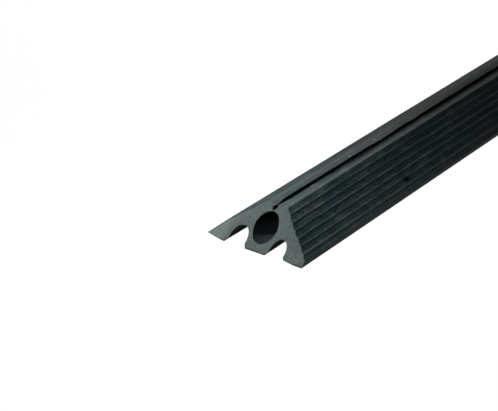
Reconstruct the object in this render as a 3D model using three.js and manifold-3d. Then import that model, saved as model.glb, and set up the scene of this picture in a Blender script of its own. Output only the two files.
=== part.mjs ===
// Floor cable cover: one straight length of solid black rubber with a ribbed slope on each side.
// A round bore runs along the middle and is entered through a groove and a slit in the flat top.
// A round-topped channel, open to the floor, runs on each side of the middle foot.
// The near end is cut on a slant, with its top set back, and the far end is cut square.
// Millimetres. X runs across the cover, Y along it, and Z up. The floor is at z = 0.

import * as THREE from "three";
import { mergeVertices } from "three/addons/utils/BufferGeometryUtils.js";
import Module from "manifold-3d";

const wasm = await Module();
wasm.setup();

// Overall sizes
const LENGTH = 1000;
const WIDTH = 108;
const TOP_WIDTH = 24;
const LIP_HEIGHT = 4.4;
const END_SLANT = THREE.MathUtils.degToRad(50);

// The middle bore, the rubber under it, and the groove and slit over it
const BORE_RADIUS = 11.6;
const FOOT_THICKNESS = 5.8;
const GROOVE_WIDTH = 4.8;
const GROOVE_DEPTH = 4.2;
const SLIT_WIDTH = 0.8;
const SLIT_DEPTH = 0.8;

// The channel on each side of the foot
const CHANNEL_RADIUS = 8.6;
const CHANNEL_CENTRE_HEIGHT = 4.9;
const WEB_THICKNESS = 5.6;
const MOUTH_FLARE = 2.6;
const MOUTH_FLARE_HEIGHT = 2.8;

// Ribs along each slope, measured down the slope from its top corner
const RIB_START = 6.85;
const RIB_PITCH = 7.66;
const RIB_WIDTH = 3;
const RIB_HEIGHT = 0.6;
const RIB_END_MARGIN = 4;

// Fixing holes: short slots, straight down through the solid strip of each wing
const HOLE_LENGTH = 7;
const HOLE_WIDTH = 3.4;
const HOLE_FROM_END = 195.5;

// How finely arcs are divided
const BORE_STEPS = 28;
const CHANNEL_STEPS = 18;
const GROOVE_STEPS = 8;
const RIB_STEPS = 6;
const HOLE_STEPS = 10;

// Sizes that follow
const BORE_CENTRE_HEIGHT = FOOT_THICKNESS + BORE_RADIUS;
const HEIGHT = BORE_CENTRE_HEIGHT + BORE_RADIUS + SLIT_DEPTH + GROOVE_DEPTH;
const CHANNEL_RISE = BORE_CENTRE_HEIGHT - CHANNEL_CENTRE_HEIGHT;
const CHANNEL_X = Math.sqrt((BORE_RADIUS + WEB_THICKNESS + CHANNEL_RADIUS) ** 2 - CHANNEL_RISE ** 2);
const FOOT_HALF_WIDTH = CHANNEL_X - CHANNEL_RADIUS - MOUTH_FLARE;
const WING_INNER_X = CHANNEL_X + CHANNEL_RADIUS + MOUTH_FLARE;
const WING_MIDDLE_X = (WING_INNER_X + WIDTH / 2) / 2;

// Points along an arc in the section, from one angle to another
function arc(x, z, radius, from, to, steps) {
  const points = [];
  for (let i = 0; i <= steps; i += 1) {
    const angle = from + ((to - from) * i) / steps;
    points.push(new THREE.Vector2(x + radius * Math.cos(angle), z + radius * Math.sin(angle)));
  }
  return points;
}

// The bore's right half, from its lowest point up to the slit
function boreSide() {
  const slitAngle = Math.acos(SLIT_WIDTH / 2 / BORE_RADIUS);
  return arc(0, BORE_CENTRE_HEIGHT, BORE_RADIUS, -Math.PI / 2, slitAngle, BORE_STEPS);
}

// The groove's right half, from the slit up to the flat top
function grooveSide() {
  const radius = GROOVE_WIDTH / 2;
  const centre = HEIGHT - GROOVE_DEPTH + radius;
  const slitAngle = -Math.acos(SLIT_WIDTH / 2 / radius);
  return [...arc(0, centre, radius, slitAngle, 0, GROOVE_STEPS), new THREE.Vector2(radius, HEIGHT)];
}

// One rib: a low round bead on the slope
function rib(middle, along, outward) {
  const radius = ((RIB_WIDTH / 2) ** 2 + RIB_HEIGHT ** 2) / (2 * RIB_HEIGHT);
  const half = Math.asin(RIB_WIDTH / 2 / radius);
  const points = [];
  for (let i = 0; i <= RIB_STEPS; i += 1) {
    const angle = -half + (2 * half * i) / RIB_STEPS;
    const point = middle.clone().addScaledVector(along, radius * Math.sin(angle));
    points.push(point.addScaledVector(outward, radius * Math.cos(angle) - radius + RIB_HEIGHT));
  }
  return points;
}

// The right slope, from the flat top's corner down to the top of the lip
function ribbedSlope() {
  const upper = new THREE.Vector2(TOP_WIDTH / 2, HEIGHT);
  const lower = new THREE.Vector2(WIDTH / 2, LIP_HEIGHT);
  const along = lower.clone().sub(upper).normalize();
  const outward = new THREE.Vector2(-along.y, along.x);
  const slopeLength = upper.distanceTo(lower);
  const points = [upper];
  for (let run = RIB_START; run <= slopeLength - RIB_END_MARGIN; run += RIB_PITCH) {
    points.push(...rib(upper.clone().addScaledVector(along, run), along, outward));
  }
  points.push(lower);
  return points;
}

// The right channel, from the wing's inner edge on the floor over the arch to the foot
function channelSide() {
  return [
    new THREE.Vector2(WING_INNER_X, 0),
    new THREE.Vector2(CHANNEL_X + CHANNEL_RADIUS, MOUTH_FLARE_HEIGHT),
    ...arc(CHANNEL_X, CHANNEL_CENTRE_HEIGHT, CHANNEL_RADIUS, 0, Math.PI, CHANNEL_STEPS),
    new THREE.Vector2(CHANNEL_X - CHANNEL_RADIUS, MOUTH_FLARE_HEIGHT),
    new THREE.Vector2(FOOT_HALF_WIDTH, 0),
  ];
}

// The whole section: the right half's outline, then its mirror image
function section() {
  const right = [...boreSide(), ...grooveSide(), ...ribbedSlope(), new THREE.Vector2(WIDTH / 2, 0), ...channelSide()];
  const left = right.slice(1).reverse().map((point) => new THREE.Vector2(-point.x, point.y));
  return new THREE.Shape([...right, ...left]);
}

// The section drawn out along Y, with the near end's points slid back as they rise
function extrudedLength() {
  const geometry = new THREE.ExtrudeGeometry(section(), { depth: LENGTH, bevelEnabled: false });
  geometry.rotateX(Math.PI / 2);
  geometry.translate(0, LENGTH / 2, 0);
  const place = geometry.attributes.position;
  for (let i = 0; i < place.count; i += 1) {
    if (place.getY(i) < 0) {
      place.setY(i, -LENGTH / 2 + place.getZ(i) * Math.tan(END_SLANT));
    }
  }
  return geometry;
}

// One fixing hole, as the solid that is cut away
function holeCutter(x, y) {
  const radius = HOLE_WIDTH / 2;
  const reach = HOLE_LENGTH / 2 - radius;
  const outline = new THREE.Shape();
  outline.absarc(0, reach, radius, 0, Math.PI, false);
  outline.absarc(0, -reach, radius, Math.PI, 2 * Math.PI, false);
  const depth = 2 * HEIGHT;
  const geometry = new THREE.ExtrudeGeometry(outline, { depth, bevelEnabled: false, curveSegments: HOLE_STEPS });
  geometry.translate(x, y, -HEIGHT / 2);
  return geometry;
}

function toManifold(geometry) {
  const bare = geometry.clone();
  bare.deleteAttribute("normal");
  bare.deleteAttribute("uv");
  const merged = mergeVertices(bare, 1e-4);
  const mesh = new wasm.Mesh({
    numProp: 3,
    vertProperties: new Float32Array(merged.attributes.position.array),
    triVerts: new Uint32Array(merged.index.array),
  });
  return new wasm.Manifold(mesh);
}

function toGeometry(solid) {
  const mesh = solid.getMesh();
  const geometry = new THREE.BufferGeometry();
  geometry.setAttribute("position", new THREE.BufferAttribute(new Float32Array(mesh.vertProperties), 3));
  geometry.setIndex(new THREE.BufferAttribute(new Uint32Array(mesh.triVerts), 1));
  const flat = geometry.toNonIndexed();
  flat.computeVertexNormals();
  return flat;
}

// The finished length of cover, with a pair of fixing holes near each end
function coverGeometry() {
  let cover = toManifold(extrudedLength());
  const holeY = LENGTH / 2 - HOLE_FROM_END;
  for (const x of [-WING_MIDDLE_X, WING_MIDDLE_X]) {
    for (const y of [-holeY, holeY]) {
      cover = cover.subtract(toManifold(holeCutter(x, y)));
    }
  }
  return toGeometry(cover);
}

const rubber = new THREE.MeshStandardMaterial({ color: 0x26282a, roughness: 0.8, metalness: 0 });
const cover = new THREE.Mesh(coverGeometry(), rubber);
cover.name = "cable_cover";

const object = new THREE.Group();
object.add(cover);

export default object;
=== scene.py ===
import math

import bmesh
import bpy
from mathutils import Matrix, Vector, geometry, noise


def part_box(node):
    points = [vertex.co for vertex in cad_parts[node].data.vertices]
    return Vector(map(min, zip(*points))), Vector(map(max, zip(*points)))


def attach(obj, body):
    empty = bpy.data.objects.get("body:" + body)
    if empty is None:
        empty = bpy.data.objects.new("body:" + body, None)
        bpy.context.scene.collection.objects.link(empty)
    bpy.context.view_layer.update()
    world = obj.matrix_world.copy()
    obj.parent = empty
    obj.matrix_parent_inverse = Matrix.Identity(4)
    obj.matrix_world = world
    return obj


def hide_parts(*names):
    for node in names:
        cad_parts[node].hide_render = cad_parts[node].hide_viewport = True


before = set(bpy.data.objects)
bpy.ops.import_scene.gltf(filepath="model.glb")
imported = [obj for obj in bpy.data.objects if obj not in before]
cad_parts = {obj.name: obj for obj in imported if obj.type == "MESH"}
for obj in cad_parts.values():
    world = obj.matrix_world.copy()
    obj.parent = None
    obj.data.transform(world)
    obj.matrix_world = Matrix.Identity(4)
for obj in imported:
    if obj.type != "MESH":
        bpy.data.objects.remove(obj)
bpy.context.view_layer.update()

# A length of floor cable cover in solid black rubber, cut on a slant at its near end.
# X runs across the cover, Y along it from the slanted end to the square end, and Z up from the floor.
# Sizes of the cover are in millimetres, which become metres in the mesh.
MM = 0.001

# Sizes of the cover that come from its CAD node
LOW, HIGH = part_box("cable_cover")
LENGTH = (HIGH[1] - LOW[1]) / MM
WIDTH = (HIGH[0] - LOW[0]) / MM
HEIGHT = (HIGH[2] - LOW[2]) / MM

# Sizes of the section, as built
TOP_WIDTH = 24
LIP_HEIGHT = 4.4
END_SLANT = math.radians(50)
BORE_RADIUS = 11.6
FOOT_THICKNESS = 5.8
GROOVE_WIDTH = 4.8
GROOVE_DEPTH = 4.2
CHANNEL_RADIUS = 8.6
CHANNEL_CENTRE_HEIGHT = 4.9
WEB_THICKNESS = 5.6
MOUTH_FLARE = 2.6
MOUTH_FLARE_HEIGHT = 2.8
RIB_START = 6.85
RIB_PITCH = 7.66
RIB_HEIGHT = 0.6
RIB_END_MARGIN = 4
HOLE_LENGTH = 7
HOLE_WIDTH = 3.4
HOLE_FROM_END = 195.5

# The slit is a knife cut whose faces nearly touch, and a rib falls away softly to both sides of its crest
SLIT_WIDTH = 0.35
RIB_SPREAD = 2.0

# Rounding of the section's corners, and the bevel round both cut ends
TOP_CORNER_ROUND = 0.8
LIP_ROUND = 0.7
GROOVE_LIP_ROUND = 0.45
FLOOR_EDGE_ROUND = 0.25
FLARE_ROUND = 0.8
CUT_BEVEL = 0.2

# How the rubber strays from the drawn section at the slanted cut, and how far behind it each stray reaches
SAW_STRAY = 3.0
SAW_STRAY_HEIGHTS = (LIP_HEIGHT + 7, 24)
SAW_STRAY_REACH = 40
SLANT_REACH = 160
BORE_SPREAD = 0.08
BORE_SPREAD_REACH = 60
LEFT_CHANNEL_SPREAD = 0.085
RIGHT_CHANNEL_SPREAD = -0.06
CHANNEL_SPREAD_MARGIN = 1.5
CHANNEL_SPREAD_REACH = 70
TIP_LIFT = 3.8
TIP_LIFT_CURVE = 1.2
TIP_DROP = 0.4
TIP_DROP_CURVE = 4
TIP_REACH = 50
WING_EDGE_LIFT = 0.8
WING_EDGE_HEIGHT = 1
WING_EDGE_MARGIN = 1
WING_EDGE_FROM_LIP = 8
WING_EDGE_REACH = 24

# The groove leans to the left, and its lips pinch together at the cut; each fades out between two distances
GROOVE_LEAN = 0.85
MOUTH_LEAN = 0.1
LEAN_FADES = (75, 115)
LEFT_LIP_PINCH = 2.3
RIGHT_LIP_PINCH = 1.3
PINCH_DEPTH = 1.3
PINCH_FADES = (2, 26)

# Bulges of the groove's left lip as (middle, reach, size), and waves in both lips as (pitch, size, seed)
LEFT_LIP_BULGES = ((222, 36, 1.5), (280, 12, 1.3))
LIP_WAVES = ((34, 0.22, 3.1), (11, 0.24, 7.7))

# Waves in the height of the ribs, as a share of it; each rib on each side has a seed of its own
RIB_WAVE_PITCH = 46
RIB_WAVE = 0.25
RIB_SINK = 0.5
SIDE_SEED = 5
RIB_SEED = 1.7
NOISE_SLICE = 0.37

# How near the flat top, or a wall, a point counts as on it
ON_TOP = 0.3
ON_WALL = 0.05

# Fineness of the mesh
ARC_STEPS = 20
CORNER_STEPS = 5
RIB_STEPS = 7
LEAST_RISE = 0.004
LONGEST_SPAN = 2.2
NEAR_STATIONS = (0, CUT_BEVEL, 0.8, 1.6, 2.6, 3.8, 5.2, 6.8, 8.6, 10.6, 12.8, 15.4, 18.4, 22, 26.4)
STATION_PITCH = 5.6
FACE_PITCH = 2.4
FACE_CLEARANCE = 0.55
HOLE_STEPS = 16
SHARP_ANGLE = math.radians(34)

# Sizes that follow
BORE_CENTRE = FOOT_THICKNESS + BORE_RADIUS
OVER_BORE = HEIGHT - BORE_CENTRE - BORE_RADIUS
CHANNEL_X = math.sqrt(
    (BORE_RADIUS + WEB_THICKNESS + CHANNEL_RADIUS) ** 2 - (BORE_CENTRE - CHANNEL_CENTRE_HEIGHT) ** 2
)
FOOT_HALF_WIDTH = CHANNEL_X - CHANNEL_RADIUS - MOUTH_FLARE
WING_INNER_X = CHANNEL_X + CHANNEL_RADIUS + MOUTH_FLARE
WING_MIDDLE_X = (WING_INNER_X + WIDTH / 2) / 2
HOLE_Y = LENGTH / 2 - HOLE_FROM_END
SLOPE_ANGLE = math.atan2(HEIGHT - LIP_HEIGHT, (WIDTH - TOP_WIDTH) / 2)

# Painted highlights and painted sheen on the ribs' crests and on the flat top with its two edges, each a
# share between 0 and 1
CREST_HIGHLIGHT = 0.15
FAR_CREST_HIGHLIGHT = 0.9
CREST_HIGHLIGHT_GROWS = (235, 290)
CREST_BAND = (0.3 * RIB_HEIGHT, 0.95 * RIB_HEIGHT)
TOP_SHEEN = 0.5
TOP_SHEEN_DEPTHS = (0.45, 0.1)
EDGE_HIGHLIGHT = 0.4
EDGE_BAND_INSET = 2.5
EDGE_BAND_CORE = 0.3
EDGE_HIGHLIGHT_DEPTHS = (2, 0.5)

# Painted light from the floor low on the slopes, and painted shade beside the groove and round the holes
SLOPE_FLOOR_LIGHT = 0.25
SLOPE_FLOOR_LIGHT_HEIGHTS = (LIP_HEIGHT + 1, 12)
LIP_FLOOR_LIGHT_HEIGHTS = (LIP_HEIGHT - 0.4, LIP_HEIGHT + 0.6)
GROOVE_SHADE_SETS_IN = (-0.5, 0)
GROOVE_SHADE_REACH = (2, 11)
GROOVE_SHADE_GROWS = (60, 145)
GROOVE_SHADE_DEPTHS = (1, 0.5)
HOLE_SHADE = 0.8
HOLE_SHADE_WIDTH = 3.4
HOLE_SHADE_LENGTH = 6.5
HOLE_SHADE_FADE = (0.3, 1.3)

# The cut face's paler left tip and its painted shade along the floor, and two pale specks on the flat top
TIP_PALENESS = 0.8
TIP_PALE_TO = (-45, -30)
FLOOR_SHADE_STRENGTH = 0.85
FLOOR_SHADE_HEIGHTS = (0.7, 1.82)
SPECK_RADIUS = 0.95
SPECK_FADE = (0.6, 1.2)
PALE_SPECKS = ((-6.2, -287, 34), (-4.6, -334, 34))

# Colours of the extruded skin, with its painted highlights, painted light and painted shade
SKIN_DARK = (0.004, 0.013, 0.016)
SKIN_PALE = (0.010, 0.022, 0.025)
SKIN_LINE = (0.031, 0.049, 0.052)
SKIN_GRIT = (0.034, 0.058, 0.064)
# Painted sheen on the flat top
TOP_SHEEN_COLOUR = (0.037, 0.052, 0.056)
# Painted highlight on the ribs' crests
CREST_HIGHLIGHT_COLOUR = (0.060, 0.075, 0.078)
# Painted highlight along the flat top's two edges
EDGE_HIGHLIGHT_COLOUR = (0.095, 0.110, 0.112)
# Painted light from the floor, low on the slopes
SLOPE_FLOOR_LIGHT_COLOUR = (0.075, 0.090, 0.092)
# Painted shade beside the groove and round the holes
PAINTED_SHADE_COLOUR = (0.003, 0.006, 0.007)
PALE_SPECK = (0.45, 0.45, 0.44)
SETTLED_DUST = (0.32, 0.33, 0.32)

# Colours of the sawn ends
CUT_DARK = (0.031, 0.043, 0.042)
CUT_PALE = (0.044, 0.058, 0.056)
CUT_GRIT = (0.080, 0.096, 0.094)
BLADE_MARK = (0.066, 0.082, 0.080)
PALE_TIP = (0.090, 0.112, 0.110)
# Painted shade along the floor at the cut face's bottom edge
FLOOR_SHADE_COLOUR = (0.006, 0.009, 0.009)

# Colours of the walls inside the bore, channels, groove and holes, painted darker than the skin as painted
# shade
INNER_SHADE_DARK = (0.005, 0.008, 0.009)
INNER_SHADE_PALE = (0.009, 0.013, 0.014)
INNER_SHADE_LINE = (0.014, 0.019, 0.020)

# Roughness of each kind of rubber, from its smoother to its rougher patches
SKIN_ROUGHNESS = (0.46, 0.58)
CUT_ROUGHNESS = (0.72, 0.86)
INNER_ROUGHNESS = (0.68, 0.84)

# Values of the noise between which patches, die lines, blade marks, grit and haze come up, and how strongly
PATCH_NOISE = (0.3, 0.7)
LINE_NOISE = (0.4, 0.75)
BLADE_NOISE = (0.45, 0.75)
GRIT_NOISE = (0.36, 0.64)
HAZE_NOISE = (0.45, 0.75)
LINE_STRENGTH = 0.4
SKIN_GRIT_STRENGTH = 0.5
CUT_GRIT_STRENGTH = 0.3
HAZE_STRENGTH = 0.25

# Material slots on the cover's mesh
SKIN = 0
CUT = 1
INNER = 2


# The section

def arc(x, z, radius, start, end, steps):
    """Points along an arc, from one angle to another."""
    angles = [start + (end - start) * i / steps for i in range(steps + 1)]
    return [Vector((x + radius * math.cos(a), z + radius * math.sin(a))) for a in angles]


def rounded_corner(before, corner, after, radius):
    """The arc that takes a corner's place, touching both of its sides."""
    into = (before - corner).normalized()
    out = (after - corner).normalized()
    half = into.angle(out) / 2
    reach = radius / math.tan(half)
    centre = corner + (into + out).normalized() * (radius / math.sin(half))
    first = corner + into * reach - centre
    last = corner + out * reach - centre
    turn = math.atan2(first.x * last.y - first.y * last.x, first.dot(last))
    points = []
    for i in range(CORNER_STEPS + 1):
        angle = turn * i / CORNER_STEPS
        cos, sin = math.cos(angle), math.sin(angle)
        points.append(centre + Vector((first.x * cos - first.y * sin, first.x * sin + first.y * cos)))
    return points


def bore_side():
    """The bore's right half, from its lowest point up to the slit."""
    slit_angle = math.acos(SLIT_WIDTH / 2 / BORE_RADIUS)
    return arc(0, BORE_CENTRE, BORE_RADIUS, -math.pi / 2, slit_angle, ARC_STEPS)


def groove_side():
    """The groove's right half, from the slit up to its rounded lip."""
    radius = GROOVE_WIDTH / 2
    centre = HEIGHT - GROOVE_DEPTH + radius
    slit_angle = -math.acos(SLIT_WIDTH / 2 / radius)
    lip = Vector((radius, HEIGHT))
    top_corner = Vector((TOP_WIDTH / 2, HEIGHT))
    points = arc(0, centre, radius, slit_angle, 0, ARC_STEPS // 2)
    return points + rounded_corner(Vector((radius, centre)), lip, top_corner, GROOVE_LIP_ROUND)


def rib_rise(run):
    """How far the slope's surface stands up at a distance down it from the top corner."""
    slope_length = math.hypot(WIDTH / 2 - TOP_WIDTH / 2, HEIGHT - LIP_HEIGHT)
    count = int((slope_length - RIB_START - RIB_END_MARGIN) / RIB_PITCH) + 1
    nearest = min(max(round((run - RIB_START) / RIB_PITCH), 0), count - 1)
    across = min(abs(run - RIB_START - nearest * RIB_PITCH) / RIB_SPREAD, 1)
    return RIB_HEIGHT * (1 + math.cos(math.pi * across)) / 2


def ribbed_slope():
    """The right slope, from the flat top's corner to the lip's upper corner, both rounded."""
    upper = Vector((TOP_WIDTH / 2, HEIGHT))
    lower = Vector((WIDTH / 2, LIP_HEIGHT))
    along = (lower - upper).normalized()
    outward = Vector((-along.y, along.x))
    first = rounded_corner(Vector((0, HEIGHT)), upper, lower, TOP_CORNER_ROUND)
    last = rounded_corner(upper, lower, Vector((WIDTH / 2, 0)), LIP_ROUND)
    run = (first[-1] - upper).length
    end = (last[0] - upper).length
    step = RIB_SPREAD / RIB_STEPS
    points = []
    while run + step < end:
        run += step
        if max(rib_rise(run - step), rib_rise(run), rib_rise(run + step)) > LEAST_RISE:
            points.append(upper + along * run + outward * rib_rise(run))
    return first + points + last


def channel_side():
    """The right channel, from the wing's inner edge on the floor over the arch to the foot."""
    right = CHANNEL_X + CHANNEL_RADIUS
    left = CHANNEL_X - CHANNEL_RADIUS
    wing_edge = Vector((WING_INNER_X, 0))
    wing_flare = Vector((right, MOUTH_FLARE_HEIGHT))
    foot_flare = Vector((left, MOUTH_FLARE_HEIGHT))
    foot_edge = Vector((FOOT_HALF_WIDTH, 0))
    spring = Vector((0, CHANNEL_CENTRE_HEIGHT))
    return (
        rounded_corner(Vector((WIDTH / 2, 0)), wing_edge, wing_flare, FLOOR_EDGE_ROUND)
        + rounded_corner(wing_edge, wing_flare, spring + Vector((right, 0)), FLARE_ROUND)
        + arc(CHANNEL_X, CHANNEL_CENTRE_HEIGHT, CHANNEL_RADIUS, 0, math.pi, ARC_STEPS)
        + rounded_corner(spring + Vector((left, 0)), foot_flare, foot_edge, FLARE_ROUND)
        + rounded_corner(foot_flare, foot_edge, Vector((0, 0)), FLOOR_EDGE_ROUND)
        + [Vector((0, 0))]
    )


def with_short_spans(points):
    """The same closed outline with its long straight spans divided."""
    divided = []
    for point, after in zip(points, points[1:] + points[:1]):
        pieces = max(1, math.ceil((after - point).length / LONGEST_SPAN))
        divided += [point.lerp(after, i / pieces) for i in range(pieces)]
    return divided


def section():
    """The whole section's outline: the right half, then its mirror image."""
    lip = Vector((WIDTH / 2, LIP_HEIGHT))
    floor_corner = rounded_corner(lip, Vector((WIDTH / 2, 0)), Vector((0, 0)), FLOOR_EDGE_ROUND)
    right = bore_side() + groove_side() + ribbed_slope() + floor_corner + channel_side()
    left = [Vector((-point.x, point.y)) for point in reversed(right[1:-1])]
    return with_short_spans(right + left)


def drawn_in(outline, depth):
    """The outline moved into the rubber all round, for the bevel at a cut end."""
    moved = []
    count = len(outline)
    for i, point in enumerate(outline):
        side = outline[(i + 1) % count] - outline[i - 1]
        moved.append(point + Vector((side.y, -side.x)).normalized() * depth)
    return moved


# How the rubber strays

def eased(value, start, end):
    """0 before start, 1 after end, and a smooth rise between them."""
    share = min(max((value - start) / (end - start), 0), 1)
    return share * share * (3 - 2 * share)


def near_end(place, reach):
    """1 at the slanted cut, and a smooth fall to 0 at a distance behind it."""
    return 1 - eased(place, 0, reach)


def wave(place, pitch, seed):
    """Slow smooth noise along the length, from about -1 to 1."""
    return 2 * noise.noise(Vector((place / pitch, seed, NOISE_SLICE)))


def lip_wander(side, place):
    """How far a lip of the groove wanders to the right, with the left lip's bulges."""
    wander = sum(size * wave(place, pitch, side * seed) for pitch, size, seed in LIP_WAVES)
    if side < 0:
        for middle, reach, size in LEFT_LIP_BULGES:
            wander += size * (1 - eased(abs(place - middle), 0, reach))
    return wander


def groove_shift(side, under_top, place):
    """How far the groove's wall stands from its drawn place, to the right."""
    at_bottom = eased(under_top, 0, GROOVE_DEPTH - GROOVE_WIDTH / 2)
    lean = (MOUTH_LEAN + GROOVE_LEAN * at_bottom) * (1 - eased(place, *LEAN_FADES))
    inward = -RIGHT_LIP_PINCH if side > 0 else LEFT_LIP_PINCH
    pinch = inward * (1 - eased(place, *PINCH_FADES)) * (1 - eased(under_top, 0, PINCH_DEPTH))
    return pinch - lean + lip_wander(side, place) * (1 - eased(under_top, ON_TOP, GROOVE_DEPTH))


def rib_lift(side, run, place):
    """How much higher or lower than drawn a rib stands, along its length."""
    rib = round((run - RIB_START) / RIB_PITCH)
    height = wave(place, RIB_WAVE_PITCH, side * SIDE_SEED + rib * RIB_SEED) - RIB_SINK
    return rib_rise(run) * RIB_WAVE * height


def strayed_top(x, z, side, place):
    """A point of the groove or of a slope, moved as the groove's walls and the ribs stray."""
    under_top = HEIGHT - z
    if abs(x) < TOP_WIDTH / 2 and under_top < OVER_BORE:
        reach = 1 - eased(abs(x), GROOVE_WIDTH / 2, TOP_WIDTH / 2 - TOP_CORNER_ROUND)
        slit = 1 - eased(under_top, GROOVE_DEPTH, OVER_BORE)
        x += reach * slit * groove_shift(side, under_top, place)
    elif z > LIP_HEIGHT and under_top > ON_TOP and abs(x) > TOP_WIDTH / 2:
        run = (abs(x) - TOP_WIDTH / 2) * math.cos(SLOPE_ANGLE) + under_top * math.sin(SLOPE_ANGLE)
        lift = rib_lift(side, run, place)
        x += side * lift * math.sin(SLOPE_ANGLE)
        z += lift * math.cos(SLOPE_ANGLE)
    return x, z


def strayed_openings(x, z, side, place):
    """A point by the bore or a channel; at the cut the right channel is narrow, and the other two wide."""
    if math.hypot(x, z - BORE_CENTRE) < BORE_RADIUS + CUT_BEVEL + ON_WALL:
        x *= 1 + BORE_SPREAD * near_end(place, BORE_SPREAD_REACH)
    from_channel = Vector((abs(x) - CHANNEL_X, z - CHANNEL_CENTRE_HEIGHT))
    if from_channel.length < CHANNEL_RADIUS + MOUTH_FLARE + CHANNEL_SPREAD_MARGIN:
        most = LEFT_CHANNEL_SPREAD if side < 0 else RIGHT_CHANNEL_SPREAD
        spread = most * near_end(place, CHANNEL_SPREAD_REACH)
        x += side * from_channel.x * spread
        z += max(from_channel.y, 0) * spread
    return x, z


def left_wing_share(x, place):
    """0 at the left wing's inner edge and behind the cut, and 1 at the wing's tip at the cut."""
    return max(0, (-x - WING_INNER_X) / (WIDTH / 2 - WING_INNER_X)) * near_end(place, TIP_REACH)


def strayed_wings(x, z, place):
    """A point of a wing: the left one thins out to its tip, and the right one's inner edge is rubbed."""
    share = left_wing_share(x, place)
    height = min(z / LIP_HEIGHT, 1)
    z += TIP_LIFT * share ** TIP_LIFT_CURVE * (1 - height) - TIP_DROP * share ** TIP_DROP_CURVE * height
    rub_ends = WIDTH / 2 - WING_EDGE_FROM_LIP
    if WING_INNER_X - WING_EDGE_MARGIN < x < rub_ends and z < WING_EDGE_HEIGHT:
        z += WING_EDGE_LIFT * (1 - eased(x, WING_INNER_X, rub_ends)) * near_end(place, WING_EDGE_REACH)
    return x, z


def uneven(x, z, place):
    """The point of the section as the rubber really lies, at a distance from the near end."""
    side = 1 if x > 0 else -1
    x, z = strayed_top(x, z, side, place)
    x, z = strayed_openings(x, z, side, place)
    return strayed_wings(x, z, place)


def along(x, z, place):
    """How far along Y a point lies: slanted at the near end, and square from a short way behind it."""
    slant = math.tan(END_SLANT) * max(0, 1 - place / SLANT_REACH) ** 2
    height = max(0, z - TIP_LIFT * left_wing_share(x, place) ** TIP_LIFT_CURVE)
    stray = SAW_STRAY * eased(z, *SAW_STRAY_HEIGHTS) * near_end(place, SAW_STRAY_REACH)
    return -LENGTH / 2 + place + height * slant - stray


# The length

def station_distances():
    """Distances from the near end at which the section is repeated, closer together near both ends."""
    near = list(NEAR_STATIONS)
    far = [LENGTH - 5, LENGTH - 2, LENGTH - CUT_BEVEL, LENGTH]
    span = far[0] - near[-1]
    count = round(span / STATION_PITCH)
    return near + [near[-1] + span * i / count for i in range(1, count)] + far


def mesh_points(outline, place):
    """The section's points at a distance from the near end, in the mesh's metres."""
    points = []
    for x, z in outline:
        across, up = uneven(x, z, place)
        points.append((across * MM, along(across, up, place) * MM, up * MM))
    return points


def inside(point, outline):
    """Whether a point lies in the rubber of the section."""
    crossings = 0
    for a, b in zip(outline, outline[1:] + outline[:1]):
        if (a.y > point.y) != (b.y > point.y):
            crossings += point.x < a.x + (point.y - a.y) * (b.x - a.x) / (b.y - a.y)
    return crossings % 2 == 1


def face_points(outline):
    """Points spread over the section's rubber, clear of its outline."""
    columns = math.ceil(WIDTH / 2 / FACE_PITCH) + 1
    points = []
    for row in range(round(HEIGHT / FACE_PITCH)):
        for column in range(-columns, columns + 1):
            point = Vector(((column + 0.5 * (row % 2)) * FACE_PITCH, (row + 0.5) * FACE_PITCH))
            nearest = min((point - other).length for other in outline)
            if nearest > FACE_CLEARANCE * FACE_PITCH and inside(point, outline):
                points.append(point)
    return points


def slanted_face(outline, inner):
    """Triangles that fill the slanted end, as places in the outline's and then the inner points' list."""
    count = len(outline)
    edges = [(i, (i + 1) % count) for i in range(count)]
    inside_only = 1
    made = geometry.delaunay_2d_cdt(outline + inner, edges, [], inside_only, 1e-6)
    triangles, origins = made[2:4]
    places = [origin[0] for origin in origins]
    return [tuple(places[corner] for corner in triangle) for triangle in triangles]


def is_inner_wall(point):
    """Whether a point of the outline is in the bore, in a channel or its mouth, or in the groove or slit."""
    across = abs(point.x)
    in_bore = (point - Vector((0, BORE_CENTRE))).length < BORE_RADIUS + ON_WALL
    in_groove = across < GROOVE_WIDTH / 2 + ON_WALL and BORE_CENTRE < point.y < HEIGHT - GROOVE_LIP_ROUND
    in_channel = FOOT_HALF_WIDTH - ON_WALL < across < WING_INNER_X + ON_WALL
    under_arch = ON_WALL < point.y < CHANNEL_CENTRE_HEIGHT + CHANNEL_RADIUS + ON_WALL
    return in_bore or in_groove or (in_channel and under_arch)


def wall_slots(outline):
    """The material slot of each strip that a side of the outline leaves along the cover."""
    middles = [(point + after) / 2 for point, after in zip(outline, outline[1:] + outline[:1])]
    return [INNER if is_inner_wall(middle) else SKIN for middle in middles]


def cover_mesh():
    """The cover as one closed mesh: the section repeated along its length, with a face on each end."""
    outline = section()
    bevelled = drawn_in(outline, CUT_BEVEL)
    stations = station_distances()
    points = []
    for place in stations:
        points += mesh_points(bevelled if place in (0, LENGTH) else outline, place)
    count = len(outline)
    faces = []
    slots = wall_slots(outline) * (len(stations) - 1)
    for station in range(len(stations) - 1):
        for i in range(count):
            a = station * count + i
            b = station * count + (i + 1) % count
            faces.append((a, b, b + count, a + count))
    faces.append(tuple(range(len(points) - count, len(points))))
    slots.append(CUT)
    # The slanted face has points of its own between the outline's
    inner = face_points(bevelled)
    start = len(points) - count
    points += mesh_points(inner, 0)
    for face in slanted_face(bevelled, inner):
        faces.append(tuple(corner if corner < count else corner + start for corner in face))
        slots.append(CUT)
    mesh = bpy.data.meshes.new("rubber_cover")
    mesh.from_pydata(points, [], faces)
    mesh.polygons.foreach_set("material_index", slots)
    return mesh


def outward_normals(mesh):
    """Turns every face of a closed mesh outward."""
    shape = bmesh.new()
    shape.from_mesh(mesh)
    bmesh.ops.recalc_face_normals(shape, faces=shape.faces)
    shape.to_mesh(mesh)
    shape.free()


# The fixing holes

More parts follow.
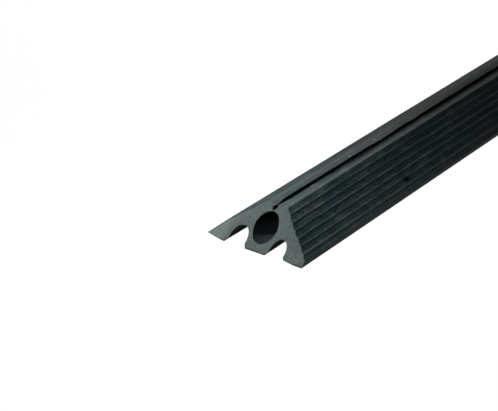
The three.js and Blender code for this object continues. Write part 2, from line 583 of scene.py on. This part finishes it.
def hole_outline():
    """One hole's outline round its own middle: a short slot along the cover."""
    radius = HOLE_WIDTH / 2
    reach = HOLE_LENGTH / 2 - radius
    far_end = arc(0, reach, radius, 0, math.pi, HOLE_STEPS)
    return far_end + arc(0, -reach, radius, math.pi, 2 * math.pi, HOLE_STEPS)


def hole_cutters():
    """One object that holds the shape of every fixing hole."""
    shape = bmesh.new()
    outline = hole_outline()
    for x in (-WING_MIDDLE_X, WING_MIDDLE_X):
        for y in (-HOLE_Y, HOLE_Y):
            rings = []
            for z in (-HEIGHT, HEIGHT):
                rings.append([shape.verts.new(((x + p.x) * MM, (y + p.y) * MM, z * MM)) for p in outline])
            low, high = rings
            shape.faces.new(low[::-1])
            shape.faces.new(high)
            for i in range(len(outline)):
                after = (i + 1) % len(outline)
                shape.faces.new((low[i], low[after], high[after], high[i]))
    mesh = bpy.data.meshes.new("hole_cutters")
    shape.to_mesh(mesh)
    shape.free()
    return bpy.data.objects.new("hole_cutters", mesh)


def evaluated_mesh(thing):
    """The mesh that an object's modifiers give."""
    graph = bpy.context.evaluated_depsgraph_get()
    return bpy.data.meshes.new_from_object(thing.evaluated_get(graph))


def drill(cover, wall_rubber):
    """Cuts the fixing holes, with their walls in a rubber of their own."""
    cutters = hole_cutters()
    cutters.data.materials.append(wall_rubber)
    bpy.context.scene.collection.objects.link(cutters)
    cut = cover.modifiers.new("fixing holes", "BOOLEAN")
    cut.operation = "DIFFERENCE"
    cut.solver = "EXACT"
    cut.material_mode = "TRANSFER"
    cut.object = cutters
    mesh = evaluated_mesh(cover)
    cover.modifiers.clear()
    cover.data = mesh
    bpy.data.objects.remove(cutters)


def make_cover(skin, cut, inner):
    """The finished piece, from the three rubbers in the order of their slots."""
    mesh = cover_mesh()
    outward_normals(mesh)
    for rubber in (skin, cut, inner):
        mesh.materials.append(rubber)
    cover = bpy.data.objects.new("rubber_cover", mesh)
    bpy.context.scene.collection.objects.link(cover)
    drill(cover, inner)
    cover.data.name = "rubber_cover"
    cover.data.shade_smooth()
    cover.data.set_sharp_from_angle(angle=SHARP_ANGLE)
    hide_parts("cable_cover")
    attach(cover, "root")


# Shader nodes

def new_group(name, inputs, outputs):
    """An empty shader node group with named sockets; each input is (name, type, value)."""
    group = bpy.data.node_groups.new(name, "ShaderNodeTree")
    for label, kind, value in inputs:
        socket = group.interface.new_socket(name=label, in_out="INPUT", socket_type=kind)
        if value is not None:
            socket.default_value = value
    for label, kind in outputs:
        group.interface.new_socket(name=label, in_out="OUTPUT", socket_type=kind)
    start = group.nodes.new("NodeGroupInput")
    end = group.nodes.new("NodeGroupOutput")
    return group, start, end


def node(tree, kind, **values):
    """A new node with its properties, or its input sockets by name, set."""
    made = tree.nodes.new(kind)
    for name, value in values.items():
        if name in made.inputs:
            made.inputs[name].default_value = value
        else:
            setattr(made, name, value)
    return made


def maths(tree, operation, *operands, clamp=False):
    """A maths node's output; each operand is a number or an output socket."""
    made = node(tree, "ShaderNodeMath", operation=operation, use_clamp=clamp)
    for place, operand in enumerate(operands):
        if isinstance(operand, (int, float)):
            made.inputs[place].default_value = operand
        else:
            tree.links.new(operand, made.inputs[place])
    return made.outputs[0]


def product(tree, first, *others):
    """Several values multiplied together."""
    for other in others:
        first = maths(tree, "MULTIPLY", first, other)
    return first


def ranged(tree, value, low, high, to_low=0.0, to_high=1.0):
    """A value moved smoothly from one range to another, and held there."""
    made = node(tree, "ShaderNodeMapRange", interpolation_type="SMOOTHSTEP")
    for name, number in (("From Min", low), ("From Max", high), ("To Min", to_low), ("To Max", to_high)):
        made.inputs[name].default_value = number
    tree.links.new(value, made.inputs["Value"])
    return made.outputs["Result"]


def stretched_noise(tree, position, per_metre, detail=3.0, roughness=0.55):
    """Noise over the object's own coordinates, with its own number of blotches a metre along each axis."""
    mapping = node(tree, "ShaderNodeMapping")
    mapping.inputs["Scale"].default_value = per_metre
    tree.links.new(position, mapping.inputs["Vector"])
    made = node(tree, "ShaderNodeTexNoise", Scale=1.0, Detail=detail, Roughness=roughness)
    tree.links.new(mapping.outputs["Vector"], made.inputs["Vector"])
    return made.outputs["Fac"]


def mixed(tree, share, first, second):
    """A colour between two others; each is a colour or an output socket."""
    made = node(tree, "ShaderNodeMix", data_type="RGBA")
    # A Mix node also has sockets for numbers and vectors, so its colours are reached by place
    low, high = made.inputs[6], made.inputs[7]
    for socket, value in ((low, first), (high, second)):
        if isinstance(value, tuple):
            socket.default_value = (*value, 1)
        else:
            tree.links.new(value, socket)
    tree.links.new(share, made.inputs["Factor"])
    return made.outputs[2]


def bumped(tree, height, depth, strength, onto=None):
    """A bump's normal, with its depth in millimetres, laid over an earlier one where it is given."""
    made = node(tree, "ShaderNodeBump", Strength=strength, Distance=depth * MM)
    tree.links.new(height, made.inputs["Height"])
    if onto is not None:
        tree.links.new(onto, made.inputs["Normal"])
    return made.outputs["Normal"]


# Effects that more than one kind of rubber has

def build_streaks():
    """Fine lines along the cover's length, as a die leaves them on extruded rubber."""
    group, start, end = new_group(
        "extrusion_streaks",
        [("Position", "NodeSocketVector", None)],
        [("Lines", "NodeSocketFloat"), ("Bands", "NodeSocketFloat")],
    )
    position = start.outputs["Position"]
    group.links.new(stretched_noise(group, position, (2600, 7, 2600), detail=2.0), end.inputs["Lines"])
    group.links.new(stretched_noise(group, position, (420, 3, 420)), end.inputs["Bands"])
    return group


def build_mottle():
    """Cloudy patches, grit and a fine grain."""
    group, start, end = new_group(
        "rubber_mottle",
        [("Position", "NodeSocketVector", None)],
        [("Clouds", "NodeSocketFloat"), ("Grit", "NodeSocketFloat"), ("Grain", "NodeSocketFloat")],
    )
    position = start.outputs["Position"]
    clouds = stretched_noise(group, position, (38, 38, 38), detail=4.0)
    grit = stretched_noise(group, position, (420, 252, 420), detail=2.0, roughness=0.6)
    grain = stretched_noise(group, position, (1500, 1500, 1500), roughness=0.65)
    group.links.new(clouds, end.inputs["Clouds"])
    group.links.new(ranged(group, grit, *GRIT_NOISE), end.inputs["Grit"])
    group.links.new(grain, end.inputs["Grain"])
    return group


def dust_specks(group, position):
    """1 in the middle of a few small dots, one to each cell that is chosen by its colour."""
    cells = node(group, "ShaderNodeTexVoronoi", Scale=210.0, Randomness=1.0)
    group.links.new(position, cells.inputs["Vector"])
    chosen = node(group, "ShaderNodeSeparateColor")
    group.links.new(cells.outputs["Color"], chosen.inputs["Color"])
    rare = ranged(group, chosen.outputs["Red"], 0.93, 0.99)
    dot = ranged(group, cells.outputs["Distance"], 0.05, 0.16, 1.0, 0.0)
    return product(group, rare, dot)


def facing_up(group):
    """1 on what faces up, and 0 on what is steep or faces down."""
    facing = node(group, "ShaderNodeNewGeometry")
    parts = node(group, "ShaderNodeSeparateXYZ")
    group.links.new(facing.outputs["Normal"], parts.inputs["Vector"])
    return ranged(group, parts.outputs["Z"], 0.3, 0.95)


def build_dust():
    """Sparse pale specks and a thin haze of dust on what faces up."""
    group, start, end = new_group(
        "settled_dust",
        [("Position", "NodeSocketVector", None), ("Amount", "NodeSocketFloat", 1.0)],
        [("Mask", "NodeSocketFloat")],
    )
    position = start.outputs["Position"]
    cloudy = stretched_noise(group, position, (90, 45, 90), detail=6.0, roughness=0.7)
    haze = ranged(group, cloudy, *HAZE_NOISE, 0.0, HAZE_STRENGTH)
    either = maths(group, "MAXIMUM", dust_specks(group, position), haze)
    shown = product(group, either, facing_up(group))
    amount = maths(group, "MULTIPLY", shown, start.outputs["Amount"], clamp=True)
    group.links.new(amount, end.inputs["Mask"])
    return group


# Where the painted highlights, painted sheen, painted light, painted shade and pale specks lie

def millimetres(tree, position, axis):
    """One of the object's own coordinates, in millimetres."""
    parts = node(tree, "ShaderNodeSeparateXYZ")
    tree.links.new(position, parts.inputs["Vector"])
    return maths(tree, "MULTIPLY", parts.outputs[axis], 1 / MM)


def from_middle(tree, position, axis):
    """The distance to either side of the cover's middle along an axis, in millimetres."""
    return maths(tree, "ABSOLUTE", millimetres(tree, position, axis))


def behind_near_end(tree, position):
    """The distance behind the foot of the slanted end, in millimetres."""
    return maths(tree, "ADD", millimetres(tree, position, "Y"), LENGTH / 2)


def by_top(tree, position, out, full):
    """0 from one depth below the flat top downwards, and 1 from another upwards."""
    return ranged(tree, millimetres(tree, position, "Z"), HEIGHT - out, HEIGHT - full)


def on_rib_crests(tree, position):
    """1 on the crests of the ribs, which stand proud of the slope, and 0 on the lands between them."""
    from_corner = maths(tree, "SUBTRACT", from_middle(tree, position, "X"), TOP_WIDTH / 2)
    over_top = maths(tree, "SUBTRACT", millimetres(tree, position, "Z"), HEIGHT)
    outward = product(tree, from_corner, math.sin(SLOPE_ANGLE))
    upward = product(tree, over_top, math.cos(SLOPE_ANGLE))
    return ranged(tree, maths(tree, "ADD", outward, upward), *CREST_BAND)


def crest_highlight_share(tree, position):
    """How strongly the crests are painted paler as a painted highlight: a little near the slanted end, and
    more from there on.
    """
    behind = behind_near_end(tree, position)
    amount = ranged(tree, behind, *CREST_HIGHLIGHT_GROWS, CREST_HIGHLIGHT, FAR_CREST_HIGHLIGHT)
    return product(tree, on_rib_crests(tree, position), amount)


def top_sheen_share(tree, position):
    """A share for the flat top, painted paler than the slopes as a painted sheen, and 0 below it."""
    return product(tree, by_top(tree, position, *TOP_SHEEN_DEPTHS), TOP_SHEEN)


def edge_highlight_share(tree, position):
    """A share for the two long edges of the flat top, painted paler as a painted highlight."""
    from_band = maths(tree, "SUBTRACT", from_middle(tree, position, "X"), TOP_WIDTH / 2 - EDGE_BAND_INSET)
    off_band = maths(tree, "ABSOLUTE", from_band)
    band = ranged(tree, off_band, EDGE_BAND_CORE, EDGE_BAND_INSET, EDGE_HIGHLIGHT, 0.0)
    return product(tree, band, by_top(tree, position, *EDGE_HIGHLIGHT_DEPTHS))


def groove_shade_share(tree, position):
    """A share for the strip of the flat top right of the groove, darkened as painted shade from a way behind
    the cut.
    """
    across = millimetres(tree, position, "X")
    begun = ranged(tree, across, *GROOVE_SHADE_SETS_IN)
    thinned = ranged(tree, across, *GROOVE_SHADE_REACH, 1.0, 0.0)
    grown = ranged(tree, behind_near_end(tree, position), *GROOVE_SHADE_GROWS)
    return product(tree, begun, thinned, grown, by_top(tree, position, *GROOVE_SHADE_DEPTHS))


def floor_light_share(tree, position):
    """A share for the foot of each slope, above the lip, painted paler as painted light bounced up from the
    floor.
    """
    up = millimetres(tree, position, "Z")
    low = ranged(tree, up, *SLOPE_FLOOR_LIGHT_HEIGHTS, SLOPE_FLOOR_LIGHT, 0.0)
    return product(tree, low, ranged(tree, up, *LIP_FLOOR_LIGHT_HEIGHTS))


def hole_shade_share(tree, position):
    """A share for the painted shade round each fixing hole, longer along the cover than across it."""
    squares = []
    for axis, middle, reach in (("X", WING_MIDDLE_X, HOLE_SHADE_WIDTH), ("Y", HOLE_Y, HOLE_SHADE_LENGTH)):
        off_middle = maths(tree, "SUBTRACT", from_middle(tree, position, axis), middle)
        away = maths(tree, "DIVIDE", off_middle, reach)
        squares.append(product(tree, away, away))
    return ranged(tree, maths(tree, "ADD", *squares), *HOLE_SHADE_FADE, HOLE_SHADE, 0.0)


def near_speck(tree, position, place):
    """1 within a small round speck on the surface, fading out at its rim."""
    away = node(tree, "ShaderNodeVectorMath", operation="DISTANCE")
    away.inputs[1].default_value = [size * MM for size in place]
    tree.links.new(position, away.inputs[0])
    core, rim = [share * SPECK_RADIUS * MM for share in SPECK_FADE]
    return ranged(tree, away.outputs["Value"], core, rim, 1.0, 0.0)


# Materials

def new_material(name, **sockets):
    """A material with its Principled shader's fixed values set."""
    material = bpy.data.materials.new(name)
    material.use_nodes = True
    tree = material.node_tree
    shader = tree.nodes["Principled BSDF"]
    for label, value in sockets.items():
        shader.inputs[label.replace("_", " ")].default_value = value
    position = node(tree, "ShaderNodeTexCoord").outputs["Object"]
    return material, tree, shader, position


def placed(tree, group, position, **values):
    """A node group set in a material, fed with the object's coordinates."""
    made = node(tree, "ShaderNodeGroup")
    made.node_tree = group
    for name, value in values.items():
        made.inputs[name].default_value = value
    tree.links.new(position, made.inputs["Position"])
    return made


def clouded(tree, patches, dark, pale):
    """The rubber's own colour, in cloudy patches from dark to pale."""
    return mixed(tree, ranged(tree, patches.outputs["Clouds"], *PATCH_NOISE), dark, pale)


def lined(tree, lines, noise_range, base, line_colour):
    """A colour with faint lines over it, which come up within a range of their noise."""
    return mixed(tree, ranged(tree, lines, *noise_range, 0.0, LINE_STRENGTH), base, line_colour)


def gritted(tree, patches, strength, base, grit_colour):
    """A colour with grit over it."""
    return mixed(tree, product(tree, patches.outputs["Grit"], strength), base, grit_colour)


def skin_rubber(streaks, mottle, dust):
    """The extruded skin: near-black with a cool cast and a dull sheen, with die lines, grit and dust, a
    painted sheen on the flat top, painted highlights on its edges and on the ribs' crests, painted light low
    on the slopes, and painted shade beside the groove and round the holes.
    """
    material, tree, shader, position = new_material("skin_rubber", Specular_IOR_Level=0.2)
    lines = placed(tree, streaks, position)
    patches = placed(tree, mottle, position)
    dusty = placed(tree, dust, position, Amount=0.5)
    # Painted shade beside the groove, where the roughness also rises, and round the holes
    groove_shade = groove_shade_share(tree, position)
    painted_shade_share = maths(tree, "MAXIMUM", groove_shade, hole_shade_share(tree, position))
    colour = clouded(tree, patches, SKIN_DARK, SKIN_PALE)
    colour = lined(tree, lines.outputs["Bands"], LINE_NOISE, colour, SKIN_LINE)
    # Painted sheen on the flat top
    colour = mixed(tree, top_sheen_share(tree, position), colour, TOP_SHEEN_COLOUR)
    # Painted highlight on the ribs' crests
    colour = mixed(tree, crest_highlight_share(tree, position), colour, CREST_HIGHLIGHT_COLOUR)
    # Painted highlight along the flat top's two edges
    colour = mixed(tree, edge_highlight_share(tree, position), colour, EDGE_HIGHLIGHT_COLOUR)
    # Painted light from the floor, low on the slopes
    colour = mixed(tree, floor_light_share(tree, position), colour, SLOPE_FLOOR_LIGHT_COLOUR)
    colour = gritted(tree, patches, SKIN_GRIT_STRENGTH, colour, SKIN_GRIT)
    colour = mixed(tree, painted_shade_share, colour, PAINTED_SHADE_COLOUR)
    colour = mixed(tree, dusty.outputs["Mask"], colour, SETTLED_DUST)
    for place in PALE_SPECKS:
        colour = mixed(tree, near_speck(tree, position, place), colour, PALE_SPECK)
    tree.links.new(colour, shader.inputs["Base Color"])
    rough = ranged(tree, lines.outputs["Bands"], *PATCH_NOISE, *SKIN_ROUGHNESS)
    tree.links.new(maths(tree, "MAXIMUM", rough, groove_shade), shader.inputs["Roughness"])
    grain = bumped(tree, patches.outputs["Grain"], 0.04, 0.7)
    tree.links.new(bumped(tree, lines.outputs["Lines"], 0.03, 0.6, grain), shader.inputs["Normal"])
    return material


def cut_rubber(mottle, dust):
    """The sawn ends: duller and greyer, with faint marks of the blade, a paler tip and a dark line of
    painted shade along the floor.
    """
    material, tree, shader, position = new_material("cut_rubber", Specular_IOR_Level=0.1)
    patches = placed(tree, mottle, position)
    dusty = placed(tree, dust, position, Amount=0.35)
    blade = stretched_noise(tree, position, (90, 900, 900))
    at_tip = ranged(tree, millimetres(tree, position, "X"), *TIP_PALE_TO, TIP_PALENESS, 0.0)
    # Painted shade along the floor at the cut face's bottom edge
    floor_shade = ranged(tree, millimetres(tree, position, "Z"), *FLOOR_SHADE_HEIGHTS, FLOOR_SHADE_STRENGTH, 0.0)
    colour = clouded(tree, patches, CUT_DARK, CUT_PALE)
    colour = lined(tree, blade, BLADE_NOISE, colour, BLADE_MARK)
    colour = mixed(tree, at_tip, colour, PALE_TIP)
    colour = mixed(tree, floor_shade, colour, FLOOR_SHADE_COLOUR)
    colour = gritted(tree, patches, CUT_GRIT_STRENGTH, colour, CUT_GRIT)
    colour = mixed(tree, dusty.outputs["Mask"], colour, SETTLED_DUST)
    tree.links.new(colour, shader.inputs["Base Color"])
    rough = ranged(tree, patches.outputs["Clouds"], *PATCH_NOISE, *CUT_ROUGHNESS)
    tree.links.new(rough, shader.inputs["Roughness"])
    grain = bumped(tree, patches.outputs["Grain"], 0.08, 0.9)
    tree.links.new(bumped(tree, blade, 0.15, 0.5, grain), shader.inputs["Normal"])
    return material


def inner_rubber(streaks, mottle):
    """The walls of the bore, channels, groove and holes: painted darker than the skin as painted shade, and
    rougher.
    """
    material, tree, shader, position = new_material("inner_rubber", Specular_IOR_Level=0.1)
    lines = placed(tree, streaks, position)
    patches = placed(tree, mottle, position)
    # Painted shade: the walls are coloured darker than the skin
    colour = clouded(tree, patches, INNER_SHADE_DARK, INNER_SHADE_PALE)
    colour = lined(tree, lines.outputs["Bands"], LINE_NOISE, colour, INNER_SHADE_LINE)
    tree.links.new(colour, shader.inputs["Base Color"])
    rough = ranged(tree, patches.outputs["Clouds"], *PATCH_NOISE, *INNER_ROUGHNESS)
    tree.links.new(rough, shader.inputs["Roughness"])
    grain = bumped(tree, patches.outputs["Grain"], 0.05, 0.8)
    tree.links.new(bumped(tree, lines.outputs["Lines"], 0.03, 0.6, grain), shader.inputs["Normal"])
    return material


# The studio, in metres

CAMERA_PLACE = (0.8461, -1.6477, 0.7705)
CAMERA_AIM = (-0.0601, -0.4261, 0.0)
CAMERA_LENS = 126.51
CAMERA_SENSOR = 36

# How brightly the floor and the sky glow for the camera, and how brightly each lights the cover
FLOOR_SEEN = 0.98
FLOOR_GLOW = 0.42
SKY_GLOW = 0.02
FLOOR_REACH = 8.0
FLOOR_GREY = 0.1
FLOOR_ROUGHNESS = 0.9

# Each softbox's name, place, aim, width, height, power and spread in degrees
SOFTBOXES = (
    ("key", (-0.40, -0.70, 0.50), (0.0, -0.47, 0.03), 0.14, 0.14, 0.44, 40),
    ("front", (0.10, -1.30, 0.70), (0.0, -0.50, 0.02), 0.40, 0.40, 0.30, 30),
    ("back", (-0.60, 0.49, 0.55), (0.0, -0.40, 0.0), 0.60, 0.50, 1.42, 180),
    ("far right", (0.90, 0.38, 0.60), (0.0, 0.32, 0.0), 0.30, 0.30, 0.9, 24),
    ("far left", (-0.90, 0.38, 0.60), (0.0, 0.32, 0.0), 0.30, 0.30, 0.9, 24),
)


def aim_at(thing, place, aim):
    """Puts a camera or light at a place, looking at a point."""
    thing.location = place
    thing.rotation_euler = (Vector(aim) - Vector(place)).to_track_quat("-Z", "Y").to_euler()


def make_camera():
    """The camera of the photo's view, above the slanted end and to its right."""
    data = bpy.data.cameras.new("camera")
    data.lens = CAMERA_LENS
    data.sensor_width = CAMERA_SENSOR
    data.sensor_fit = "HORIZONTAL"
    camera = bpy.data.objects.new("camera", data)
    bpy.context.scene.collection.objects.link(camera)
    aim_at(camera, CAMERA_PLACE, CAMERA_AIM)
    bpy.context.scene.camera = camera


def make_softbox(name, place, aim, width, height, power, spread):
    """A rectangular light that the camera doesn't see."""
    data = bpy.data.lights.new(name, "AREA")
    data.shape = "RECTANGLE"
    data.size = width
    data.size_y = height
    data.energy = power
    data.spread = math.radians(spread)
    light = bpy.data.objects.new(name, data)
    bpy.context.scene.collection.objects.link(light)
    aim_at(light, place, aim)
    light.visible_camera = False


def set_glow(tree, strength, seen, cast):
    """Gives a glow one strength where the camera sees it, and another where it lights the cover."""
    camera_ray = node(tree, "ShaderNodeLightPath").outputs["Is Camera Ray"]
    tree.links.new(maths(tree, "MULTIPLY_ADD", camera_ray, seen - cast, cast), strength)


def make_floor():
    """A white floor that glows a little, so that it shows white and lights the cover from below."""
    mesh = bpy.data.meshes.new("floor")
    corners = [(x * FLOOR_REACH, y * FLOOR_REACH, 0) for x, y in ((-1, -1), (1, -1), (1, 1), (-1, 1))]
    mesh.from_pydata(corners, [], [(0, 1, 2, 3)])
    material = bpy.data.materials.new("floor_white")
    material.use_nodes = True
    shader = material.node_tree.nodes["Principled BSDF"]
    shader.inputs["Base Color"].default_value = (FLOOR_GREY, FLOOR_GREY, FLOOR_GREY, 1)
    shader.inputs["Roughness"].default_value = FLOOR_ROUGHNESS
    shader.inputs["Emission Color"].default_value = (1, 1, 1, 1)
    set_glow(material.node_tree, shader.inputs["Emission Strength"], FLOOR_SEEN, FLOOR_GLOW)
    mesh.materials.append(material)
    floor = bpy.data.objects.new("floor", mesh)
    bpy.context.scene.collection.objects.link(floor)


def make_world():
    """A sky as white as the floor to the camera, which gives the cover almost no light."""
    world = bpy.data.worlds.new("studio")
    world.use_nodes = True
    sky = world.node_tree.nodes["Background"]
    sky.inputs["Color"].default_value = (1, 1, 1, 1)
    set_glow(world.node_tree, sky.inputs["Strength"], FLOOR_SEEN, SKY_GLOW)
    bpy.context.scene.world = world


def make_studio():
    """The camera, floor, sky and lights, with colours shown as they are."""
    make_camera()
    make_floor()
    make_world()
    for softbox in SOFTBOXES:
        make_softbox(*softbox)
    bpy.context.scene.view_settings.view_transform = "Standard"
    bpy.context.scene.view_settings.look = "None"


streaks = build_streaks()
mottle = build_mottle()
dust = build_dust()
make_cover(skin_rubber(streaks, mottle, dust), cut_rubber(mottle, dust), inner_rubber(streaks, mottle))
make_studio()
